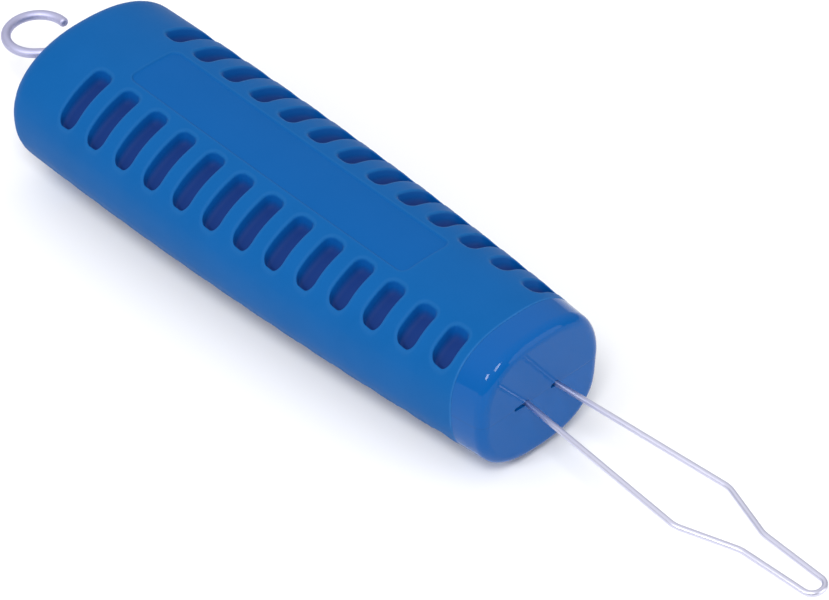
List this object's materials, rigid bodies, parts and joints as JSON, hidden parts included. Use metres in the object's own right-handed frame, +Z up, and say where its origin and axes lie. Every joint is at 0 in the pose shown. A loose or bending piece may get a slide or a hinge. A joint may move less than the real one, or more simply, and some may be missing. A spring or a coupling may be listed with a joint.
{
  "type": "button hook and zipper pull",
  "caption": "Dressing aid with a fat ribbed handle, a long wire loop that pulls buttons through at one end and a wire hook for zip sliders at the other.",
  "frame": {"origin": "under the middle of the whole object's box, on the surface that it lies on", "axes": "+X along the handle towards the button hook, +Y across the handle in the plane of both hooks, +Z up through the label panel"},
  "size_m": [0.1996, 0.038, 0.0274],
  "materials": {
    "soft_grip": "satin soft-touch moulding",
    "hard_core": "gloss moulding",
    "steel_wire": "bright drawn stainless wire"
  },
  "bodies": {
    "root": {"grip_sleeve": "soft_grip", "core_upper": "hard_core", "core_lower": "hard_core", "button_hook": "steel_wire", "zip_hook": "steel_wire"}
  },
  "joints": []
}
